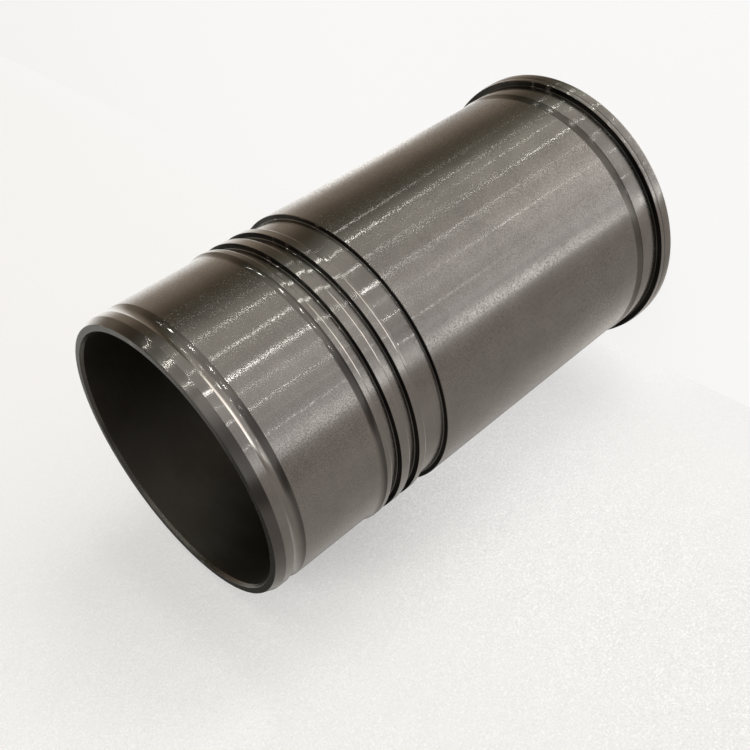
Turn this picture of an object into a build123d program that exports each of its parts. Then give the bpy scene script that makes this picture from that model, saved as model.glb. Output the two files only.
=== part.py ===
"""Wet cylinder liner for a heavy engine: one turned casting.

The liner stands on its flange, with the flange's face at Z = 0, its axis on
Z and its skirt end up. Radii lie along X and heights along Z in the section
plane. All sizes are in millimetres.
"""
from build123d import *
import os

# Overall
length = 247.0
bore_d = 120.0
barrel_d = 135.0

# Flange that hangs the liner in the block
flange_d = 143.0
flange_height = 7.5
flange_lower_edge_d = 142.1
flange_lower_edge_height = 2.0
flange_face_break = 0.5
flange_root_radius = 0.9

# Upper pilot under the flange, and the taper that joins it to the barrel
pilot_d = 136.4
pilot_top = 18.6
barrel_bottom = 23.9

# Seal belt near the skirt: lands, two grooves and a long relief
land_d = 133.4
belt_bottom = 156.3
belt_top = 190.7
groove_count = 2
groove_width = 5.5
groove_pitch = 10.2
groove_bottom_d = 128.3
root_break = 0.4
first_groove_bottom = 172.4
relief_top = 168.6
relief_flat_bottom = 166.2
relief_top_d = 128.7
relief_shoulder_d = 130.5
lip_break = 0.2

# How near an edge lies to the height that it is chosen by
reach = 0.1

# Skirt, with a shallow round cove and a lead-in chamfer at its end
skirt_d = 131.0
skirt_bottom = 193.9
cove_bottom = 233.2
cove_top = 239.1
cove_depth = 0.6
end_band_d = 130.5
end_band_top = 243.0
end_face_d = 127.3

# Chamfers at both mouths of the bore: a long lead for the piston rings
mouth_lead = 1.5
mouth_depth = 0.75

# Radii from the diameters
bore_r = bore_d / 2
barrel_r = barrel_d / 2
flange_r = flange_d / 2
flange_lower_edge_r = flange_lower_edge_d / 2
pilot_r = pilot_d / 2
land_r = land_d / 2
groove_bottom_r = groove_bottom_d / 2
relief_top_r = relief_top_d / 2
relief_shoulder_r = relief_shoulder_d / 2
skirt_r = skirt_d / 2
end_band_r = end_band_d / 2
end_face_r = end_face_d / 2

groove_bottoms = [first_groove_bottom + number * groove_pitch for number in range(groove_count)]

with BuildPart() as cylinder_liner:
    # The turned outside, from the flange's face up to the skirt's end face
    with BuildSketch(Plane.XZ):
        with BuildLine():
            Polyline(
                (skirt_r, cove_bottom),
                (skirt_r, skirt_bottom),
                (land_r, belt_top),
                (land_r, belt_bottom),
                (barrel_r, belt_bottom),
                (barrel_r, barrel_bottom),
                (pilot_r, pilot_top),
                (pilot_r, flange_height),
                (flange_lower_edge_r, flange_height),
                (flange_r, flange_height - flange_lower_edge_height),
                (flange_r, 0),
                (0, 0),
                (0, length),
                (end_face_r, length),
                (end_band_r, end_band_top),
                (end_band_r, cove_top),
            )
            SagittaArc((end_band_r, cove_top), (skirt_r, cove_bottom), cove_depth)
        make_face()
    revolve(axis=Axis.Z)

    # The fillet under the flange, which spares the corner that carries the load
    corner_under_flange = (
        cylinder_liner.edges()
        .filter_by(GeomType.CIRCLE)
        .filter_by_position(Axis.Z, flange_height - reach, flange_height + reach)
        .sort_by(SortBy.RADIUS)[0]
    )
    fillet(corner_under_flange, radius=flange_root_radius)

    # Seal grooves: square-sided, with broken roots and lips
    for groove_bottom in groove_bottoms:
        with BuildSketch(Plane.XZ):
            with BuildLine():
                Polyline(
                    (groove_bottom_r, groove_bottom),
                    (land_r - lip_break, groove_bottom),
                    (land_r, groove_bottom - lip_break),
                    (barrel_r, groove_bottom - lip_break),
                    (barrel_r, groove_bottom + groove_width + lip_break),
                    (land_r, groove_bottom + groove_width + lip_break),
                    (land_r - lip_break, groove_bottom + groove_width),
                    (groove_bottom_r, groove_bottom + groove_width),
                    close=True,
                )
            groove = make_face()
            chamfer(groove.vertices().group_by(Axis.X)[0], length=root_break)
        revolve(axis=Axis.Z, mode=Mode.SUBTRACT)

    # Long relief between the belt and the barrel's shoulder, with a ramped floor
    with BuildSketch(Plane.XZ):
        with BuildLine():
            Polyline(
                (relief_shoulder_r, belt_bottom),
                (barrel_r, belt_bottom),
                (barrel_r, relief_top + lip_break),
                (land_r, relief_top + lip_break),
                (land_r - lip_break, relief_top),
                (relief_top_r, relief_top),
                (relief_top_r, relief_flat_bottom),
                close=True,
            )
        relief = make_face()
        floor_corners = relief.vertices().filter_by_position(Axis.X, relief_top_r, relief_shoulder_r)
        chamfer([floor_corners.sort_by(Axis.Y)[0], floor_corners.sort_by(Axis.Y)[-1]], length=root_break)
    revolve(axis=Axis.Z, mode=Mode.SUBTRACT)

    # The bore, honed right through, with a lead at each mouth
    with BuildSketch(Plane.XZ):
        with BuildLine():
            Polyline(
                (0, 0),
                (bore_r + mouth_depth, 0),
                (bore_r, mouth_lead),
                (bore_r, length - mouth_lead),
                (bore_r + mouth_depth, length),
                (0, length),
                close=True,
            )
        make_face()
    revolve(axis=Axis.Z, mode=Mode.SUBTRACT)

    # Sharp outer corners are broken, as a lathe hand leaves them
    flange_face_edge = (
        cylinder_liner.edges()
        .filter_by(GeomType.CIRCLE)
        .group_by(Axis.Z)[0]
        .sort_by(SortBy.RADIUS)[-1]
    )
    chamfer(flange_face_edge, length=flange_face_break)
    barrel_shoulder_edge = (
        cylinder_liner.edges()
        .filter_by(GeomType.CIRCLE)
        .filter_by_position(Axis.Z, belt_bottom - reach, belt_bottom + reach)
        .sort_by(SortBy.RADIUS)[-1]
    )
    chamfer(barrel_shoulder_edge, length=lip_break)

cylinder_liner.part.label = "cylinder_liner"

os.makedirs("parts", exist_ok=True)
export_step(cylinder_liner.part, "parts/cylinder_liner.step")
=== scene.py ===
import math

import bpy
from mathutils import Matrix, Vector


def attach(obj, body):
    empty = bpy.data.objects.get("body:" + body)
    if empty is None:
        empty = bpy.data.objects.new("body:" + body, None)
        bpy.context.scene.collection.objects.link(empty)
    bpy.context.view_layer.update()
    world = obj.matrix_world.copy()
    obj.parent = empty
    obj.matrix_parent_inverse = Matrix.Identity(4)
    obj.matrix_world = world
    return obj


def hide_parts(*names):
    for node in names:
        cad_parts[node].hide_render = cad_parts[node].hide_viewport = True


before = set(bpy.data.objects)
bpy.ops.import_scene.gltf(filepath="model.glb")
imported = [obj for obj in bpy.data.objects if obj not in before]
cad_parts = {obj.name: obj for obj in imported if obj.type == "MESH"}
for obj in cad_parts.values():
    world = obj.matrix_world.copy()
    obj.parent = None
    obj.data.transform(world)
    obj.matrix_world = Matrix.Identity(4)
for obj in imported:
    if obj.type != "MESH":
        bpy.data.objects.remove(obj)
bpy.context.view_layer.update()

# A wet cylinder liner in fine-turned iron. It stands on its flange, its axis is the frame's Z,
# and the flange's flat face is at zero height. Heights and diameters below are in millimetres.

MM = 0.001

# ------------------------------------------------------------------ sizes
LENGTH = 247.0
BORE_D = 120.0
BARREL_D = 135.0
BARREL_BOTTOM = 22.6
TAPER_ROOT_RADIUS = 3.0

FLANGE_D = 143.0
FLANGE_HEIGHT = 7.5
FLANGE_LOWER_EDGE_D = 142.1
FLANGE_LOWER_EDGE_HEIGHT = 2.0
FLANGE_FACE_BREAK = 0.5
RIM_LINE = 0.25
RIM_LINE_HEIGHT = FLANGE_HEIGHT - FLANGE_LOWER_EDGE_HEIGHT
FLANGE_ROOT_RADIUS = 0.5
PILOT_D = 136.4
PILOT_TOP = 18.6
PILOT_STEP = 0.1
PILOT_STEP_HEIGHT = 0.25

LAND_D = 133.4
BELT_BOTTOM = 156.3
BELT_TOP = 190.7
GROOVE_COUNT = 2
GROOVE_WIDTH = 5.5
GROOVE_PITCH = 10.2
GROOVE_BOTTOM_D = 128.3
FIRST_GROOVE_BOTTOM = 172.4
GROOVE_ROOT_RADIUS = 0.45

RELIEF_TOP = 168.6
RELIEF_FLAT_BOTTOM = 166.2
RELIEF_TOP_D = 128.7
RELIEF_SHOULDER_D = 130.5

SKIRT_D = 131.0
SKIRT_BOTTOM = 193.9
COVE_BOTTOM = 233.2
COVE_TOP = 239.1
COVE_DEPTH = 0.82
COVE_STEPS = 10
END_BAND_D = 130.5
END_BAND_TOP = 243.0
END_FACE_D = 127.3

MOUTH_LEAD = 1.5
MOUTH_DEPTH = 0.75
BURR_BEARING = 56.0
BURR_SPREAD = 0.7
BURR_LEAN = 0.9945
BURR_REACH = 0.3

LIP_HEIGHT = 0.32
LIP_DEPTH = 0.1
SHARP_EDGE = 0.12
WORN_EDGE = 0.25
LIP_EDGE = 0.05
SOFT_EDGE = 0.25

SEGMENTS = 400
ARC_STEPS = 4
HOLD = 0.18


# ------------------------------------------------------------------ turned body
def round_corner(before, corner, after, radius):
    """Points of the arc that rounds one corner of the section, with a holding point on each side."""
    into = (before - corner).normalized()
    out = (after - corner).normalized()
    half = into.angle(out) / 2
    reach = radius / math.tan(half)
    room = min((before - corner).length, (after - corner).length) * 0.45
    if reach > room:
        radius *= room / reach
        reach = room
    centre = corner + (into + out).normalized() * (radius / math.sin(half))
    first = corner + into * reach
    last = corner + out * reach
    start = first - centre
    turn = start.angle_signed(last - centre)
    hold = min(HOLD, room * 0.5)
    points = [first + into * hold]
    for step in range(ARC_STEPS + 1):
        angle = -turn * step / ARC_STEPS
        points.append(centre + Matrix.Rotation(angle, 2) @ start)
    points.append(last + out * hold)
    return points


def seal_groove(bottom):
    """Corners of one square seal groove, from its flange side to its skirt side."""
    land = LAND_D / 2
    root = GROOVE_BOTTOM_D / 2
    return [
        (land, bottom, SHARP_EDGE),
        (root, bottom, GROOVE_ROOT_RADIUS),
        (root, bottom + GROOVE_WIDTH, GROOVE_ROOT_RADIUS),
        (land - LIP_DEPTH, bottom + GROOVE_WIDTH, LIP_EDGE),
        (land, bottom + GROOVE_WIDTH + LIP_HEIGHT, LIP_EDGE),
    ]


def cove_arc():
    """Points of the shallow hollow above the skirt, from its lower edge to its upper edge."""
    low = Vector((SKIRT_D / 2, COVE_BOTTOM))
    high = Vector((END_BAND_D / 2, COVE_TOP))
    chord = high - low
    inward = Vector((-chord.y, chord.x)).normalized()
    points = []
    for step in range(1, COVE_STEPS):
        t = step / COVE_STEPS
        sag = COVE_DEPTH * 4 * t * (1 - t)
        points.append((*(low + chord * t + inward * sag), 0.0))
    return points


def run_out(wide_d, wide_height, narrow_d, narrow_height):
    """Points of the hollow curve a round-nosed tool leaves from a wide edge up to a narrower barrel."""
    rise = (wide_d - narrow_d) / 2
    length = narrow_height - wide_height
    radius = (rise * rise + length * length) / (2 * rise)
    sweep = math.asin(length / radius)
    points = []
    for step in range(ARC_STEPS * 2, -1, -1):
        angle = sweep * step / (ARC_STEPS * 2 + 1)
        across = narrow_d / 2 + radius * (1 - math.cos(angle))
        points.append((across, narrow_height - radius * math.sin(angle), 0.0))
    return points


def section_corners():
    """Corners of the wall's section as radius, height and rounding, from the flange face outward."""
    bore = BORE_D / 2
    face_break = FLANGE_FACE_BREAK
    corners = [
        (bore + MOUTH_DEPTH, 0.0, WORN_EDGE),
        (FLANGE_D / 2 - face_break, 0.0, SHARP_EDGE),
        (FLANGE_D / 2, face_break, SHARP_EDGE),
        (FLANGE_D / 2, RIM_LINE_HEIGHT - RIM_LINE, 0.0),
        (FLANGE_D / 2 - RIM_LINE / 2, RIM_LINE_HEIGHT, 0.0),
        (FLANGE_D / 2 - RIM_LINE / 4, RIM_LINE_HEIGHT + RIM_LINE, 0.0),
        (FLANGE_LOWER_EDGE_D / 2, FLANGE_HEIGHT, SHARP_EDGE),
        (PILOT_D / 2, FLANGE_HEIGHT, FLANGE_ROOT_RADIUS),
        (PILOT_D / 2, PILOT_TOP, 0.0),
        (PILOT_D / 2 - PILOT_STEP, PILOT_TOP + PILOT_STEP_HEIGHT, 0.0),
        (BARREL_D / 2, BARREL_BOTTOM, TAPER_ROOT_RADIUS),
        (BARREL_D / 2, BELT_BOTTOM, WORN_EDGE),
        (RELIEF_SHOULDER_D / 2, BELT_BOTTOM, GROOVE_ROOT_RADIUS),
        (RELIEF_TOP_D / 2, RELIEF_FLAT_BOTTOM, SOFT_EDGE),
        (RELIEF_TOP_D / 2, RELIEF_TOP, GROOVE_ROOT_RADIUS),
        (LAND_D / 2 - LIP_DEPTH, RELIEF_TOP, LIP_EDGE),
        (LAND_D / 2, RELIEF_TOP + LIP_HEIGHT, LIP_EDGE),
    ]
    for index in range(GROOVE_COUNT):
        corners += seal_groove(FIRST_GROOVE_BOTTOM + index * GROOVE_PITCH)
    corners += [
        (LAND_D / 2, BELT_TOP, SHARP_EDGE),
    ]
    corners += run_out(LAND_D, BELT_TOP, SKIRT_D, SKIRT_BOTTOM)
    corners += [
        (SKIRT_D / 2, COVE_BOTTOM, SOFT_EDGE),
    ]
    corners += cove_arc()
    corners += [
        (END_BAND_D / 2, COVE_TOP, SOFT_EDGE),
        (END_BAND_D / 2, END_BAND_TOP, SOFT_EDGE),
        (END_FACE_D / 2, LENGTH, WORN_EDGE),
        (bore + MOUTH_DEPTH, LENGTH, WORN_EDGE),
        (bore, LENGTH - MOUTH_LEAD, SHARP_EDGE),
        (bore, MOUTH_LEAD, SHARP_EDGE),
    ]
    return corners


def section_points():
    """The closed section with every corner rounded."""
    corners = section_corners()
    count = len(corners)
    points = []
    for index, (radius, height, rounding) in enumerate(corners):
        here = Vector((radius, height))
        if rounding == 0.0:
            points.append(here)
            continue
        before = Vector(corners[index - 1][:2])
        after = Vector(corners[(index + 1) % count][:2])
        points += round_corner(before, here, after, rounding)
    return points


def turn_mesh(name, points):
    """A mesh turned round Z from a closed section."""
    rows = len(points)
    verts = []
    for spoke in range(SEGMENTS):
        angle = 2 * math.pi * spoke / SEGMENTS
        for point in points:
            verts.append((point.x * MM * math.cos(angle), point.x * MM * math.sin(angle), point.y * MM))
    faces = []
    for spoke in range(SEGMENTS):
        here = spoke * rows
        there = (spoke + 1) % SEGMENTS * rows
        for row in range(rows):
            up = (row + 1) % rows
            faces.append((here + row, there + row, there + up, here + up))
    mesh = bpy.data.meshes.new(name)
    mesh.from_pydata(verts, [], faces)
    mesh.shade_smooth()
    mesh.update()
    return mesh


def raise_burr(mesh):
    """A small burr left standing on the inner edge of the skirt's mouth."""
    widest = BORE_D / 2 + MOUTH_DEPTH + BURR_REACH
    for vertex in mesh.vertices:
        x, y, z = vertex.co / MM
        bearing = math.degrees(math.atan2(-x, -y))
        near_edge = z > LENGTH - MOUTH_LEAD / 2 and math.hypot(x, y) < widest
        if near_edge and abs(bearing - BURR_BEARING) < BURR_SPREAD:
            vertex.co.x *= BURR_LEAN
            vertex.co.y *= BURR_LEAN


# ------------------------------------------------------------------ shader groups
# Ranges of a noise's value that a mask grows over.
TOOL_LINE_MASK = (0.35, 0.65)
CLOUD_MASK = (0.3, 0.7)
WORN_MASK = (0.35, 0.6)


def new_group(name, inputs, outputs):
    """An empty shader group with float inputs (name, default) and outputs (name, socket type)."""
    group = bpy.data.node_groups.new(name, "ShaderNodeTree")
    for label, value in inputs:
        socket = group.interface.new_socket(name=label, in_out="INPUT", socket_type="NodeSocketFloat")
        socket.default_value = value
    for label, kind in outputs:
        group.interface.new_socket(name=label, in_out="OUTPUT", socket_type=kind)
    entry = group.nodes.new("NodeGroupInput")
    leave = group.nodes.new("NodeGroupOutput")
    return group, entry, leave


def math_node(tree, operation, first, second=None, clamp=False):
    """A math node whose inputs are sockets or plain numbers."""
    node = tree.nodes.new("ShaderNodeMath")
    node.operation = operation
    node.use_clamp = clamp
    for index, value in enumerate((first, second)):
        if value is None:
            continue
        if isinstance(value, (int, float)):
            node.inputs[index].default_value = value
        else:
            tree.links.new(value, node.inputs[index])
    return node.outputs[0]


def product(tree, first, *others):
    """The product of sockets and plain numbers, taken in order."""
    for other in others:
        first = math_node(tree, "MULTIPLY", first, other)
    return first


def total(tree, first, *others):
    """The sum of sockets and plain numbers, taken in order."""
    for other in others:
        first = math_node(tree, "ADD", first, other)
    return first


def map_range(tree, value, low, high, out_low=0.0, out_high=1.0, smooth=True):
    """A clamped map from one range to another."""
    node = tree.nodes.new("ShaderNodeMapRange")
    node.interpolation_type = "SMOOTHSTEP" if smooth else "LINEAR"
    tree.links.new(value, node.inputs["Value"])
    for label, bound in (("From Min", low), ("From Max", high), ("To Min", out_low), ("To Max", out_high)):
        if isinstance(bound, (int, float)):
            node.inputs[label].default_value = bound
        else:
            tree.links.new(bound, node.inputs[label])
    return node.outputs["Result"]


def noise(tree, vector, scale, detail=2.0, roughness=0.5):
    """A noise texture's plain value."""
    node = tree.nodes.new("ShaderNodeTexNoise")
    node.inputs["Detail"].default_value = detail
    node.inputs["Roughness"].default_value = roughness
    if isinstance(scale, (int, float)):
        node.inputs["Scale"].default_value = scale
    else:
        tree.links.new(scale, node.inputs["Scale"])
    tree.links.new(vector, node.inputs["Vector"])
    return node.outputs["Fac"]


def build_turning_group():
    """Marks that run round the axis: fine tool lines and short scratches."""
    group, entry, leave = new_group(
        "turning_marks",
        [("Line Scale", 1500.0), ("Round Scale", 60.0)],
        [("Height", "NodeSocketFloat"), ("Lines", "NodeSocketFloat")],
    )
    coords = group.nodes.new("ShaderNodeTexCoord")
    split = group.nodes.new("ShaderNodeSeparateXYZ")
    group.links.new(coords.outputs["Object"], split.inputs[0])
    x, y, z = split.outputs
    radius = math_node(group, "SQRT", total(group, product(group, x, x), product(group, y, y)))
    along = total(group, z, radius)
    join = group.nodes.new("ShaderNodeCombineXYZ")
    group.links.new(product(group, x, entry.outputs["Round Scale"]), join.inputs[0])
    group.links.new(product(group, y, entry.outputs["Round Scale"]), join.inputs[1])
    group.links.new(product(group, along, entry.outputs["Line Scale"]), join.inputs[2])
    lines = noise(group, join.outputs[0], 1.0, detail=3.0, roughness=0.6)
    group.links.new(lines, leave.inputs["Height"])
    group.links.new(map_range(group, lines, *TOOL_LINE_MASK), leave.inputs["Lines"])
    return group


def build_mottle_group():
    """Soft cloudy patches and a fine grain, both as masks."""
    group, entry, leave = new_group(
        "iron_mottle",
        [("Patch Scale", 60.0), ("Grain Scale", 1400.0)],
        [("Patches", "NodeSocketFloat"), ("Grain", "NodeSocketFloat")],
    )
    coords = group.nodes.new("ShaderNodeTexCoord")
    patches = noise(group, coords.outputs["Object"], entry.outputs["Patch Scale"], detail=4.0, roughness=0.6)
    grain = noise(group, coords.outputs["Object"], entry.outputs["Grain Scale"], detail=1.0)
    group.links.new(map_range(group, patches, *CLOUD_MASK), leave.inputs["Patches"])
    group.links.new(map_range(group, grain, *CLOUD_MASK), leave.inputs["Grain"])
    return group


def build_edge_group():
    """A mask of the rounded outer edges, where handling has brightened the metal; the lighter edge colour it
    brings in is also a painted highlight along the edges.
    """
    group, entry, leave = new_group(
        "edge_wear_and_highlight",
        [("Low", 0.52), ("High", 0.62), ("Break Scale", 300.0)],
        [("Wear And Highlight", "NodeSocketFloat")],
    )
    geometry = group.nodes.new("ShaderNodeNewGeometry")
    coords = group.nodes.new("ShaderNodeTexCoord")
    sharp = map_range(group, geometry.outputs["Pointiness"], entry.outputs["Low"], entry.outputs["High"])
    broken = noise(group, coords.outputs["Object"], entry.outputs["Break Scale"], detail=3.0)
    kept = map_range(group, broken, *WORN_MASK)
    group.links.new(math_node(group, "MULTIPLY", sharp, kept, clamp=True), leave.inputs["Wear And Highlight"])
    return group


def place_group(tree, group, **values):
    """A shader group set in a material, with its own values."""
    node = tree.nodes.new("ShaderNodeGroup")
    node.node_tree = group
    for label, value in values.items():
        node.inputs[label.replace("_", " ")].default_value = value
    return node


# ------------------------------------------------------------------ materials
LINE_TINT = 0.25
GRAIN_TINT = 0.06
GRAIN_SPAN = (0.15, 0.75)
QUARTER_TURN = 0.25


def mix_colour(tree, factor, first, second):
    """A colour mix whose ends are sockets or plain colours."""
    node = tree.nodes.new("ShaderNodeMix")
    node.data_type = "RGBA"
    tree.links.new(factor, node.inputs["Factor"])
    for label, value in (("A", first), ("B", second)):
        socket = [s for s in node.inputs if s.name == label and s.type == "RGBA"][0]
        if isinstance(value, tuple):
            socket.default_value = (*value, 1.0)
        else:
            tree.links.new(value, socket)
    return [s for s in node.outputs if s.type == "RGBA"][0]


def iron_material(name, groups, finish):
    """Turned iron: tool lines round the axis, mottled colour, worn edges whose lighter colour is partly a
    painted highlight.
    """
    material = bpy.data.materials.new(name)
    material.use_nodes = True
    tree = material.node_tree
    shader = tree.nodes["Principled BSDF"]
    marks = finish["marks"]
    turning = place_group(tree, groups["turning"], Line_Scale=marks["line"], Round_Scale=marks["round"])
    mottle = place_group(tree, groups["mottle"], Patch_Scale=marks["patch"], Grain_Scale=marks["grain"])
    edge = place_group(tree, groups["edge"])
    base = mix_colour(tree, mottle.outputs["Patches"], finish["dark"], finish["light"])
    lined = mix_colour(tree, product(tree, turning.outputs["Lines"], LINE_TINT), base, finish["line"])
    speckled = mix_colour(tree, product(tree, mottle.outputs["Grain"], GRAIN_TINT), lined, finish["dark"])
    # Worn edges, partly painted light: the lighter edge colour also stands in for the highlight along sharp
    # edges.
    worn_and_lit = mix_colour(tree, edge.outputs["Wear And Highlight"], speckled, finish["edge"])
    tree.links.new(worn_and_lit, shader.inputs["Base Color"])
    rough = map_range(tree, mottle.outputs["Grain"], *GRAIN_SPAN, *finish["roughness"], smooth=False)
    tree.links.new(rough, shader.inputs["Roughness"])
    shader.inputs["Metallic"].default_value = 1.0
    shader.inputs["Anisotropic"].default_value = finish["anisotropy"]
    shader.inputs["Anisotropic Rotation"].default_value = QUARTER_TURN
    tangent = tree.nodes.new("ShaderNodeTangent")
    tangent.direction_type = "RADIAL"
    tangent.axis = "Z"
    tree.links.new(tangent.outputs[0], shader.inputs["Tangent"])
    grain_height = product(tree, mottle.outputs["Grain"], marks["grain_share"])
    height = total(tree, turning.outputs["Height"], grain_height)
    bump = tree.nodes.new("ShaderNodeBump")
    bump.inputs["Strength"].default_value = 1.0
    bump.inputs["Distance"].default_value = marks["depth"]
    tree.links.new(height, bump.inputs["Height"])
    tree.links.new(bump.outputs[0], shader.inputs["Normal"])
    return material


# ------------------------------------------------------------------ the liner
def tool_marks(line, grain, grain_share, depth, around=30.0, patch=70.0):
    """Scales of a finish's marks: across the tool lines, around the axis, of its grain and its patches.

    depth is how deep they look, in metres.
    """
    return {
        "line": line,
        "round": around,
        "patch": patch,
        "grain": grain,
        "grain_share": grain_share,
        "depth": depth,
    }


# Each finish's edge colour is for worn edges and is partly a painted highlight along them.
FINISHES = {
    "turned_iron": {
        "dark": (0.228, 0.221, 0.211),
        "light": (0.267, 0.259, 0.248),
        "line": (0.301, 0.289, 0.274),
        "edge": (0.55, 0.53, 0.5),
        "roughness": (0.115, 0.2765),
        "anisotropy": 1.0,
        "marks": tool_marks(1700.0, 1850.0, 0.6, 1.8e-6),
    },
    # Painted light: a lighter copy of the turned iron for the skirt, raised to make up for the darker room
    # it reflects.
    "lightened_turned_iron": {
        "dark": (0.254, 0.246, 0.235),
        "light": (0.297, 0.288, 0.276),
        "line": (0.335, 0.322, 0.305),
        "edge": (0.55, 0.53, 0.5),
        "roughness": (0.13, 0.28),
        "anisotropy": 1.0,
        "marks": tool_marks(1700.0, 1850.0, 0.7, 3.2e-6),
    },
    "fine_turned_iron": {
        "dark": (0.235, 0.228, 0.218),
        "light": (0.275, 0.267, 0.256),
        "line": (0.31, 0.298, 0.282),
        "edge": (0.55, 0.53, 0.5),
        "roughness": (0.12, 0.205),
        "anisotropy": 1.0,
        "marks": tool_marks(1700.0, 1800.0, 0.7, 2.8e-6),
    },
    "form_cut_iron": {
        "dark": (0.215, 0.208, 0.196),
        "light": (0.25, 0.242, 0.229),
        "line": (0.28, 0.27, 0.256),
        "edge": (0.5, 0.48, 0.45),
        "roughness": (0.13, 0.18),
        "anisotropy": 0.6,
        "marks": tool_marks(1600.0, 1900.0, 0.6, 3e-6),
    },
    # Painted shade: the steep walls of the grooves, under the flange and at the pilot's step are coloured
    # near black for the shade and dark reflections there.
    "groove_wall_painted_shade": {
        "dark": (0.04, 0.037, 0.032),
        "light": (0.065, 0.06, 0.054),
        "line": (0.08, 0.075, 0.067),
        "edge": (0.4, 0.38, 0.35),
        "roughness": (0.2, 0.26),
        "anisotropy": 0.4,
        "marks": tool_marks(1600.0, 1900.0, 0.6, 3e-6),
    },
    # Painted shade: a darker copy of the cut iron for the taper above the flange and the line round the
    # flange rim, which look dark from what they reflect.
    "shaded_cut_iron": {
        "dark": (0.105, 0.102, 0.093),
        "light": (0.135, 0.131, 0.12),
        "line": (0.155, 0.15, 0.138),
        "edge": (0.4, 0.385, 0.36),
        "roughness": (0.14, 0.18),
        "anisotropy": 0.6,
        "marks": tool_marks(1600.0, 1900.0, 0.6, 3e-6),
    },
    "faced_end": {
        "dark": (0.16, 0.152, 0.136),
        "light": (0.2, 0.19, 0.172),
        "line": (0.23, 0.219, 0.2),
        "edge": (0.5, 0.48, 0.45),
        "roughness": (0.26, 0.32),
        "anisotropy": 0.6,
        "marks": tool_marks(2200.0, 1900.0, 0.6, 5e-6, around=45.0),
    },
    # Partly painted shade: a honed finish whose colour is darkened for the shade inside the bore.
    "honed_bore_with_shade": {
        "dark": (0.124, 0.114, 0.098),
        "light": (0.152, 0.141, 0.122),
        "line": (0.168, 0.156, 0.136),
        "edge": (0.5, 0.48, 0.45),
        "roughness": (0.42, 0.5),
        "anisotropy": 0.3,
        "marks": tool_marks(1200.0, 1500.0, 0.5, 10e-6, around=60.0, patch=40.0),
    },
}
TURNED = 0
LIGHTENED_TURNED = 1
FINE_TURNED = 2
FORM_CUT = 3
SHADED_WALL = 4
SHADED_CUT = 5
FACED = 6
HONED = 7

# How a face is told by its slope, which is 1 where it lies square to the axis, and how far past a
# form's edge its finish reaches.
SLOPED = 0.1
RIM_SLOPED = 0.15
STEEP = 0.9
SQUARE = 0.99
BORE_REACH = 0.1
MOUTH_REACH = 0.5
TAPER_REACH = 1.0
COVE_REACH = 0.3


def finish_of(polygon):
    """Which finish a face of the liner has, from where it lies and how it slopes."""
    radius = math.hypot(polygon.center.x, polygon.center.y) / MM
    height = polygon.center.z / MM
    slope = abs(polygon.normal.z)
    # Partly painted shade: the bore takes the darkened honed colour.
    if radius < BORE_D / 2 + BORE_REACH and slope < SLOPED:
        return HONED
    at_end = height > LENGTH - MOUTH_LEAD or height < MOUTH_LEAD
    if at_end and (slope > SQUARE or radius < BORE_D / 2 + MOUTH_DEPTH + MOUTH_REACH):
        return FACED
    # Painted shade: steep walls and the pilot's small step take the near-black wall colour.
    if slope > STEEP or PILOT_TOP < height < PILOT_TOP + PILOT_STEP_HEIGHT:
        return SHADED_WALL
    # Painted shade: the rim line and the taper above the flange take the darker cut iron.
    if slope > RIM_SLOPED and abs(height - RIM_LINE_HEIGHT) < RIM_LINE:
        return SHADED_CUT
    if slope > SLOPED and FLANGE_HEIGHT < height < BARREL_BOTTOM + TAPER_REACH:
        return SHADED_CUT
    if height < PILOT_TOP:
        return FINE_TURNED
    if slope > SLOPED or COVE_BOTTOM - COVE_REACH < height < COVE_TOP + COVE_REACH:
        return FORM_CUT
    if BELT_BOTTOM < height < BELT_TOP or END_BAND_TOP > height > COVE_TOP:
        return FINE_TURNED
    # Painted light: the skirt takes the lightened copy of the turned iron.
    if height > BELT_TOP:
        return LIGHTENED_TURNED
    return TURNED


def build_liner(groups):
    """The whole liner as one turned piece with its finishes."""
    mesh = turn_mesh("turned_liner", section_points())
    raise_burr(mesh)
    for name, finish in FINISHES.items():
        mesh.materials.append(iron_material(name, groups, finish))
    for polygon in mesh.polygons:
        polygon.material_index = finish_of(polygon)
    liner = bpy.data.objects.new("turned_liner", mesh)
    bpy.context.scene.collection.objects.link(liner)
    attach(liner, "root")
    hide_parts("cylinder_liner")


# ------------------------------------------------------------------ camera
CAMERA_PLACE = (0.0, -407.4755, 370.8452)
CAMERA_DOWN = 31.7466
CAMERA_YAW = 4.7623
CAMERA_ROLL = -126.2732
CAMERA_LENS = 49.0707
CAMERA_SENSOR = 36.0
CAMERA_NEAR = 0.01
CAMERA_FAR = 50.0
CAMERA_SHIFT = (-0.08439878, -0.00332885)


def build_camera():
    """The camera looks down along the liner from the skirt end, and is turned on its side."""
    data = bpy.data.cameras.new("camera")
    data.lens = CAMERA_LENS
    data.sensor_width = CAMERA_SENSOR
    data.shift_x, data.shift_y = CAMERA_SHIFT
    data.clip_start = CAMERA_NEAR
    data.clip_end = CAMERA_FAR
    camera = bpy.data.objects.new("camera", data)
    bpy.context.scene.collection.objects.link(camera)
    turn = (
        Matrix.Rotation(math.radians(CAMERA_YAW), 4, "Z")
        @ Matrix.Rotation(math.radians(90.0 - CAMERA_DOWN), 4, "X")
        @ Matrix.Rotation(math.radians(CAMERA_ROLL), 4, "Z")
    )
    camera.matrix_world = Matrix.Translation(Vector(CAMERA_PLACE) * MM) @ turn
    bpy.context.scene.camera = camera


# ------------------------------------------------------------------ studio
# Bearings are in degrees round the axis, from the frame's -Y side towards its -X side.
SHEET_BEARING = 134.0
SHEET_GAP = 0.3
STAGE_HALF = 4.0
BAND_GAIN = 2.0
BEHIND = (0.93, 0.93, 0.92)

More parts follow.
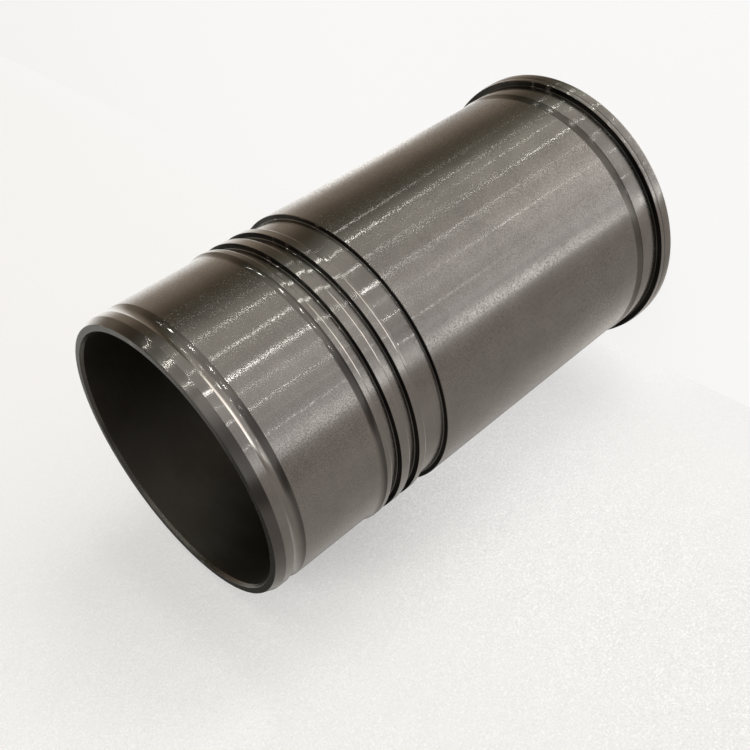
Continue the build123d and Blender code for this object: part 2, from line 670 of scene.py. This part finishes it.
ROOM_BANDS = (
    (-180.0, (0.5, 0.49, 0.47)),
    (-172.0, (1.1, 1.08, 1.04)),
    (-156.0, (1.38, 1.35, 1.3)),
    (-146.0, (1.22, 1.17, 1.1)),
    (-137.0, (0.85, 0.77, 0.69)),
    (-130.0, (0.55, 0.46, 0.37)),
    (-118.0, (0.45, 0.36, 0.275)),
    (-107.0, (0.25, 0.195, 0.145)),
    (-97.0, (0.145, 0.12, 0.085)),
    (-86.0, (0.17, 0.155, 0.115)),
    (-78.0, (0.3, 0.285, 0.24)),
    (-68.0, (0.62, 0.6, 0.53)),
    (-58.0, (0.78, 0.73, 0.66)),
    (-40.0, (0.75, 0.7, 0.64)),
    (-28.0, (0.76, 0.71, 0.66)),
    (-14.0, (0.97, 0.915, 0.86)),
    (0.0, (0.94, 0.88, 0.84)),
    (12.0, (0.82, 0.76, 0.73)),
    (22.0, (1.05, 1.0, 0.97)),
    (30.0, (1.32, 1.27, 1.23)),
    (37.0, (1.32, 1.27, 1.23)),
    (43.0, (0.7, 0.63, 0.585)),
    (52.0, (0.56, 0.495, 0.45)),
    (66.0, (0.56, 0.505, 0.46)),
    (76.0, (0.55, 0.5, 0.455)),
    (100.0, (0.5, 0.455, 0.42)),
    (120.0, (0.54, 0.5, 0.46)),
    (135.0, (0.58, 0.54, 0.5)),
    (152.0, (0.55, 0.52, 0.49)),
    (161.0, (0.34, 0.325, 0.31)),
    (172.0, (0.1, 0.097, 0.092)),
    (180.0, (0.22, 0.215, 0.205)),
)

LAMP_DISTANCE = 1.8
LAMP_COLOUR = (1.0, 1.0, 0.97)
WIDE_COLOUR = (1.0, 0.995, 0.985)
LAMPS = (
    # bearing, drop below level, radius, radiance
    (-78.5, 0.50, 0.024, 11.0),
    (-65.0, 0.46, 0.028, 32.0),
    (-45.0, 0.39, 0.034, 17.0),
    (-25.5, 0.25, 0.042, 28.0),
    (-13.2, 0.11, 0.024, 36.0),
    (-1.0, 0.24, 0.020, 34.0),
    (9.5, 0.51, 0.018, 17.0),
    (19.0, 0.30, 0.016, 24.0),
    (-62.0, 0.68, 0.014, 20.0),
    (-50.0, 0.73, 0.018, 40.0),
    (-30.5, 0.62, 0.016, 18.0),
    (-12.0, 0.64, 0.017, 18.0),
    (-88.0, -0.08, 0.018, 50.0),
    (-79.0, -0.20, 0.026, 90.0),
    (-58.0, -0.28, 0.030, 90.0),
    (-37.5, -0.33, 0.026, 90.0),
    (-23.5, -0.28, 0.022, 90.0),
    (-5.5, -0.25, 0.016, 60.0),
)
WIDE_LIGHTS = (
    # name, bearing, drop below level, distance, radius, radiance
    ("sheet_light", -50.0, 0.5, 1.8, 0.5, 3.6),
    ("floor_light", -46.0, -0.9, 2.2, 0.6, 7.5),
)


# The room's changes of tone. A row is (from, to, value at from, value at to): a START or END row is
# over bearings, and the others are over the upward part of a unit direction. SHEET_EDGE is the range
# of the part that points at the sheet, over which the sheet's tones give way to the room's.
ROOM_HEIGHT = (-0.38, -0.14, 1.0, 0.68)
ROOM_TOP = (0.45, 0.75, 1.0, 0.5)
SHEET_HEIGHT = (-0.3, 0.3, 1.0, 0.45)
SHEET_EDGE = (0.08, -0.08)

DARK_SIDE_START = (-30.0, 10.0, 0.0, 1.0)
DARK_SIDE_END = (52.0, 74.0, 1.0, 0.0)
DARK_SIDE_HEIGHT = (-0.38, -0.14, 0.0, 1.0)
DARK_SIDE_TONE = 0.42

GLOW_START = (-72.0, -45.0, 0.0, 1.0)
GLOW_END = (25.0, 42.0, 1.0, 0.0)
GLOW_HEIGHT = (-0.79, -0.87, 0.0, 1.0)
GLOW_TONE = 5.2

LEFT_START = (-136.0, -146.0, 0.0, 1.0)
LEFT_LIGHT = (-0.44, -0.56, 0.0, 0.5)
LEFT_DARK = (-0.585, -0.65, 0.0, -0.85)
RIGHT_START = (92.0, 150.0, 0.0, 1.0)
RIGHT_END = (155.0, 172.0, 1.0, 0.3)
RIGHT_LIGHT = (-0.44, -0.5, 0.0, 0.18)
RIGHT_LOW_LIGHT = (-0.585, -0.65, 0.0, 0.85)
LOW_LEFT_START = (-105.0, -85.0, 0.0, 1.0)
LOW_LEFT_END = (-64.0, -48.0, 1.0, 0.0)
LOW_LEFT_LIGHT = (-0.48, -0.73, 0.0, 0.6)

WINDOW_START = (20.0, 25.0, 0.0, 1.0)
WINDOW_END = (36.0, 40.0, 1.0, 0.0)
UPPER_PANE = (-0.44, -0.38, 0.5, 0.0)
WINDOW_BAR = (-0.5, -0.52, 0.0, -0.68)
LOWER_PANE = (-0.55, -0.61, 0.0, 1.9)
LOWER_PANE_FOOT = (-0.7, -0.64, 0.0, 1.0)
LOWER_PANE_START = (25.0, 33.0, 0.0, 1.0)


def bearing_direction(bearing, drop=0.0):
    """Unit vector at a bearing round the axis, dropped below level by the given share."""
    level = math.sqrt(1.0 - drop * drop)
    angle = math.radians(bearing)
    return Vector((-math.sin(angle) * level, -math.cos(angle) * level, -drop))


def bearing_range(tree, bearing, row, smooth=True):
    """A clamped map over bearings, from a row whose first two values are in degrees."""
    start, end, out_start, out_end = row
    return map_range(tree, bearing, math.radians(start), math.radians(end), out_start, out_end, smooth)


def band_colours(tree, bearing):
    """The room's bands as a colour, divided by BAND_GAIN so that they fit a ramp."""
    around = map_range(tree, bearing, -math.pi, math.pi, smooth=False)
    ramp = tree.nodes.new("ShaderNodeValToRGB")
    elements = ramp.color_ramp.elements
    while len(elements) < len(ROOM_BANDS):
        elements.new(0.5)
    for element, (angle, colour) in zip(elements, ROOM_BANDS):
        element.position = (angle + 180.0) / 360.0
        element.color = (*[part / BAND_GAIN for part in colour], 1.0)
    tree.links.new(around, ramp.inputs["Fac"])
    return ramp.outputs["Color"]


def room_shade(tree, x, y, z):
    """How the tones fall off with height, on the sheet's side and on the room's side."""
    turn = math.radians(SHEET_BEARING - 90.0)
    towards = total(tree, product(tree, x, -math.cos(turn)), product(tree, y, math.sin(turn)))
    ends = tree.nodes.new("ShaderNodeMix")
    tree.links.new(map_range(tree, towards, *SHEET_EDGE), ends.inputs["Factor"])
    tree.links.new(map_range(tree, z, *SHEET_HEIGHT), ends.inputs[2])
    room = product(tree, map_range(tree, z, *ROOM_HEIGHT), map_range(tree, z, *ROOM_TOP))
    tree.links.new(room, ends.inputs[3])
    return ends.outputs[0]


def dark_side(tree, bearing, z):
    """The darker side of the room, as a factor. It fades out low down."""
    mask = product(
        tree,
        bearing_range(tree, bearing, DARK_SIDE_START),
        bearing_range(tree, bearing, DARK_SIDE_END),
        map_range(tree, z, *DARK_SIDE_HEIGHT),
    )
    return map_range(tree, mask, 0.0, 1.0, 1.0, DARK_SIDE_TONE)


def low_glow(tree, bearing, z):
    """A strong glow low down in front, as a factor."""
    ahead = product(
        tree,
        bearing_range(tree, bearing, GLOW_START),
        bearing_range(tree, bearing, GLOW_END),
    )
    mask = product(tree, map_range(tree, z, *GLOW_HEIGHT), ahead)
    return map_range(tree, mask, 0.0, 1.0, 1.0, GLOW_TONE)


def low_sides(tree, bearing, z):
    """Lighter and darker patches low down at both sides, as a factor."""
    left = product(
        tree,
        bearing_range(tree, bearing, LEFT_START),
        total(tree, map_range(tree, z, *LEFT_LIGHT), map_range(tree, z, *LEFT_DARK)),
    )
    right = product(
        tree,
        bearing_range(tree, bearing, RIGHT_START, smooth=False),
        bearing_range(tree, bearing, RIGHT_END),
        total(tree, map_range(tree, z, *RIGHT_LIGHT), map_range(tree, z, *RIGHT_LOW_LIGHT)),
    )
    low_left = product(
        tree,
        bearing_range(tree, bearing, LOW_LEFT_START),
        bearing_range(tree, bearing, LOW_LEFT_END),
        map_range(tree, z, *LOW_LEFT_LIGHT, smooth=False),
    )
    return total(tree, left, right, low_left, 1.0)


def window(tree, bearing, z):
    """A tall window with a bar across it, as tone to add."""
    opening = product(
        tree,
        bearing_range(tree, bearing, WINDOW_START),
        bearing_range(tree, bearing, WINDOW_END),
    )
    lower_pane = product(
        tree,
        map_range(tree, z, *LOWER_PANE),
        map_range(tree, z, *LOWER_PANE_FOOT),
        bearing_range(tree, bearing, LOWER_PANE_START),
    )
    panes = total(tree, map_range(tree, z, *UPPER_PANE), map_range(tree, z, *WINDOW_BAR), lower_pane)
    return product(tree, opening, panes)


def build_world():
    """Soft studio surroundings: pale and dark bands set by their bearing round the axis."""
    world = bpy.data.worlds.new("studio")
    bpy.context.scene.world = world
    world.use_nodes = True
    tree = world.node_tree
    background = tree.nodes["Background"]
    coords = tree.nodes.new("ShaderNodeTexCoord")
    split = tree.nodes.new("ShaderNodeSeparateXYZ")
    tree.links.new(coords.outputs["Generated"], split.inputs[0])
    x, y, z = split.outputs
    bearing = math_node(tree, "ARCTAN2", product(tree, x, -1.0), product(tree, y, -1.0))
    shade = product(
        tree,
        room_shade(tree, x, y, z),
        dark_side(tree, bearing, z),
        low_glow(tree, bearing, z),
        low_sides(tree, bearing, z),
    )
    shade = product(tree, total(tree, shade, window(tree, bearing, z)), BAND_GAIN)
    scale = tree.nodes.new("ShaderNodeVectorMath")
    scale.operation = "SCALE"
    tree.links.new(band_colours(tree, bearing), scale.inputs[0])
    tree.links.new(shade, scale.inputs["Scale"])
    path = tree.nodes.new("ShaderNodeLightPath")
    seen = mix_colour(tree, path.outputs["Is Camera Ray"], scale.outputs[0], BEHIND)
    tree.links.new(seen, background.inputs["Color"])
    background.inputs["Strength"].default_value = 1.0


# ------------------------------------------------------------------ floor and sheet
# A row is (from, to, value at from, value at to). SPECK, PIT and HAZE are over a noise's value, a
# HEIGHT row is over height and the rest are over the distance along the sheet, in metres.
PALE = (0.972, 0.967, 0.958)
PALE_ROUGHNESS = 0.7
SPARKLE_SCALE = 1150.0
CLOUD_SCALE = 90.0
SPECK = (0.52, 0.72, 0.0, 0.16)
PIT = (0.5, 0.3, 0.0, -0.09)
HAZE = (0.3, 0.7, -0.006, 0.006)

FLOOR_LIFT = 0.9
# Painted shade: the floor's tone falls slightly with distance to the left.
FLOOR_TONE = (-0.6, -0.15, 0.965, 1.0)
FLOOR_SPARKLE = (-0.6, 0.1, 0.0, 0.12)

# Painted light: the sheet's kept white is raised near the floor and beside the barrel, which pales the
# liner's shadow there.
SHEET_LIFT = 0.45
SHEET_MID_LIFT = 0.66
LIFT_FOOT_HEIGHT = (0.0, 0.05, FLOOR_LIFT, SHEET_MID_LIFT)
LIFT_TOP_HEIGHT = (0.1, 0.21, 0.0, SHEET_LIFT - SHEET_MID_LIFT)
# Painted shade and light on the sheet: darker with height and towards both ends, and a paler patch beyond
# the skirt end over the liner's shadow.
TONE_HEIGHT = (0.0, 0.35, 0.95, 0.89)
NEAR_TONE = (0.07, 0.11, 1.0, 0.965)
END_TONE = (0.12, 0.21, 1.0, 0.99)
PAINTED_LIGHT_START = (-0.09, -0.03, 0.0, 1.0)
PAINTED_LIGHT_END = (0.066, 0.09, 1.0, 0.0)
PAINTED_LIGHT_HEIGHT = (0.26, 0.28, 0.0, 0.07)
SPARKLE_NEAR = (-0.2, 0.06, 0.15, 1.35)
SPARKLE_TOP_HEIGHT = (0.15, 0.22, 1.0, 0.6)
SPARKLE_FOOT_HEIGHT = (0.01, 0.12, 0.3, 1.0)


def pale_sparkle(tree, place):
    """Fine bright specks and darker pits with a faint haze, around zero."""
    fine = noise(tree, place, SPARKLE_SCALE, detail=2.0, roughness=0.7)
    cloud = noise(tree, place, CLOUD_SCALE, detail=2.0)
    return total(
        tree,
        map_range(tree, fine, *SPECK),
        map_range(tree, fine, *PIT),
        map_range(tree, cloud, *HAZE),
    )


def pale_material(name, lift, tone, grain_share):
    """Pale matt foam with a fine sparkle, part of its white kept whatever falls on it.

    tone is called with the shader tree and its x, y and z to give the material's brightness. In the
    same way lift gives the share of white kept and grain_share how strongly the sparkle shows.
    """
    material = bpy.data.materials.new(name)
    material.use_nodes = True
    tree = material.node_tree
    shader = tree.nodes["Principled BSDF"]
    coords = tree.nodes.new("ShaderNodeTexCoord")
    split = tree.nodes.new("ShaderNodeSeparateXYZ")
    tree.links.new(coords.outputs["Object"], split.inputs[0])
    grain = product(tree, pale_sparkle(tree, coords.outputs["Object"]), grain_share(tree, *split.outputs))
    level = product(tree, tone(tree, *split.outputs), total(tree, grain, 1.0))
    colour = tree.nodes.new("ShaderNodeVectorMath")
    colour.operation = "SCALE"
    colour.inputs[0].default_value = PALE
    tree.links.new(level, colour.inputs["Scale"])
    tree.links.new(colour.outputs[0], shader.inputs["Base Color"])
    shader.inputs["Roughness"].default_value = PALE_ROUGHNESS
    glow = tree.nodes.new("ShaderNodeEmission")
    tree.links.new(colour.outputs[0], glow.inputs["Color"])
    glow.inputs["Strength"].default_value = 1.0
    path = tree.nodes.new("ShaderNodeLightPath")
    kept = product(tree, path.outputs["Is Camera Ray"], lift(tree, *split.outputs))
    blend = tree.nodes.new("ShaderNodeMixShader")
    tree.links.new(kept, blend.inputs[0])
    tree.links.new(shader.outputs[0], blend.inputs[1])
    tree.links.new(glow.outputs[0], blend.inputs[2])
    tree.links.new(blend.outputs[0], tree.nodes["Material Output"].inputs["Surface"])
    return material, blend


def along_sheet(tree, x, y):
    """Distance along the upright sheet, growing towards the frame's -X side."""
    out = bearing_direction(SHEET_BEARING)
    return total(tree, product(tree, x, -out.y), product(tree, y, out.x))


def floor_tone(tree, x, y, z):
    """Painted shade: the floor is slightly darker with distance to the left."""
    return map_range(tree, along_sheet(tree, x, y), *FLOOR_TONE, smooth=False)


def floor_lift(tree, x, y, z):
    """The floor keeps most of its white."""
    return FLOOR_LIFT


def floor_grain(tree, x, y, z):
    """The floor's grain is too far off to show much."""
    return map_range(tree, along_sheet(tree, x, y), *FLOOR_SPARKLE, smooth=False)


def sheet_tone(tree, x, y, z):
    """Painted shade and light: the sheet is darker towards its upper edge and towards its far end, and one
    patch beyond the skirt end is painted paler over the liner's shadow.
    """
    along = along_sheet(tree, x, y)
    ends = product(tree, map_range(tree, along, *NEAR_TONE), map_range(tree, along, *END_TONE))
    tone = product(tree, map_range(tree, z, *TONE_HEIGHT, smooth=False), ends)
    patch = product(tree, map_range(tree, along, *PAINTED_LIGHT_START), map_range(tree, along, *PAINTED_LIGHT_END))
    pale = product(tree, map_range(tree, z, *PAINTED_LIGHT_HEIGHT), patch)
    return product(tree, tone, total(tree, pale, 1.0))


def sheet_lift(tree, x, y, z):
    """The sheet keeps more of its white where it meets the floor, and some of it up the barrel. This kept
    white glows for the camera whatever falls on it, so it is painted light that pales the liner's shadow
    there.
    """
    return total(tree, map_range(tree, z, *LIFT_FOOT_HEIGHT), map_range(tree, z, *LIFT_TOP_HEIGHT))


def sheet_grain(tree, x, y, z):
    """The sheet's sparkle is clearest where it is nearest."""
    near = map_range(tree, along_sheet(tree, x, y), *SPARKLE_NEAR)
    top = map_range(tree, z, *SPARKLE_TOP_HEIGHT)
    foot = map_range(tree, z, *SPARKLE_FOOT_HEIGHT)
    return product(tree, top, foot, near)


def stage_plane(name, corners, material):
    """A flat stage piece that takes shadows and lets the studio's light through."""
    mesh = bpy.data.meshes.new(name)
    mesh.from_pydata([tuple(corner) for corner in corners], [], [(0, 1, 2, 3)])
    mesh.materials.append(material)
    plane = bpy.data.objects.new(name, mesh)
    bpy.context.scene.collection.objects.link(plane)
    plane.visible_glossy = False
    plane.visible_shadow = False
    plane.visible_diffuse = False


def build_floor():
    """The plain pale floor under the liner."""
    half = STAGE_HALF
    material, _ = pale_material("pale_floor", floor_lift, floor_tone, floor_grain)
    corners = ((-half, -half, 0.0), (half, -half, 0.0), (half, half, 0.0), (-half, half, 0.0))
    stage_plane("floor", corners, material)


def build_sheet():
    """An upright pale sheet just clear of the flange, seen from its front only."""
    material, blend = pale_material("pale_sheet", sheet_lift, sheet_tone, sheet_grain)
    tree = material.node_tree
    geometry = tree.nodes.new("ShaderNodeNewGeometry")
    clear = tree.nodes.new("ShaderNodeBsdfTransparent")
    front = tree.nodes.new("ShaderNodeMixShader")
    tree.links.new(geometry.outputs["Backfacing"], front.inputs[0])
    tree.links.new(blend.outputs[0], front.inputs[1])
    tree.links.new(clear.outputs[0], front.inputs[2])
    tree.links.new(front.outputs[0], tree.nodes["Material Output"].inputs["Surface"])
    out = bearing_direction(SHEET_BEARING)
    along = Vector((-out.y, out.x, 0.0))
    foot = out * ((FLANGE_D / 2 + SHEET_GAP) * MM)
    up = Vector((0.0, 0.0, 1.0))
    half = STAGE_HALF
    corners = [
        foot - along * half - up * half,
        foot + along * half - up * half,
        foot + along * half + up * half,
        foot - along * half + up * half,
    ]
    normal = (corners[1] - corners[0]).cross(corners[2] - corners[1])
    if normal.dot(out) > 0.0:
        corners.reverse()
    stage_plane("sheet", corners, material)


# ------------------------------------------------------------------ lamps
def add_lamp(name, place, radius, radiance, colour):
    """A round soft lamp that faces the middle of the liner."""
    middle = Vector((0.0, 0.0, LENGTH * MM / 2))
    data = bpy.data.lights.new(name, "AREA")
    data.shape = "DISK"
    data.size = radius * 2
    data.energy = radiance * math.pi * math.pi * radius * radius
    data.color = colour
    lamp = bpy.data.objects.new(name, data)
    bpy.context.scene.collection.objects.link(lamp)
    lamp.location = place
    lamp.rotation_euler = (place - middle).to_track_quat("Z", "Y").to_euler()
    lamp.visible_camera = False
    return lamp


def build_lamps():
    """A row of small lamps that the turned metal shows, and two wide lights for the floor and sheet."""
    middle = Vector((0.0, 0.0, LENGTH * MM / 2))
    for index, (bearing, drop, radius, radiance) in enumerate(LAMPS):
        place = middle + bearing_direction(bearing, drop) * LAMP_DISTANCE
        add_lamp(f"row_lamp_{index + 1}", place, radius, radiance, LAMP_COLOUR)
    for name, bearing, drop, distance, radius, radiance in WIDE_LIGHTS:
        place = middle + bearing_direction(bearing, drop) * distance
        lamp = add_lamp(name, place, radius, radiance, WIDE_COLOUR)
        lamp.visible_glossy = False


def main():
    groups = {
        "turning": build_turning_group(),
        "mottle": build_mottle_group(),
        "edge": build_edge_group(),
    }
    bpy.context.scene.view_settings.view_transform = "Standard"
    build_camera()
    build_liner(groups)
    build_floor()
    build_sheet()
    build_lamps()
    build_world()


main()
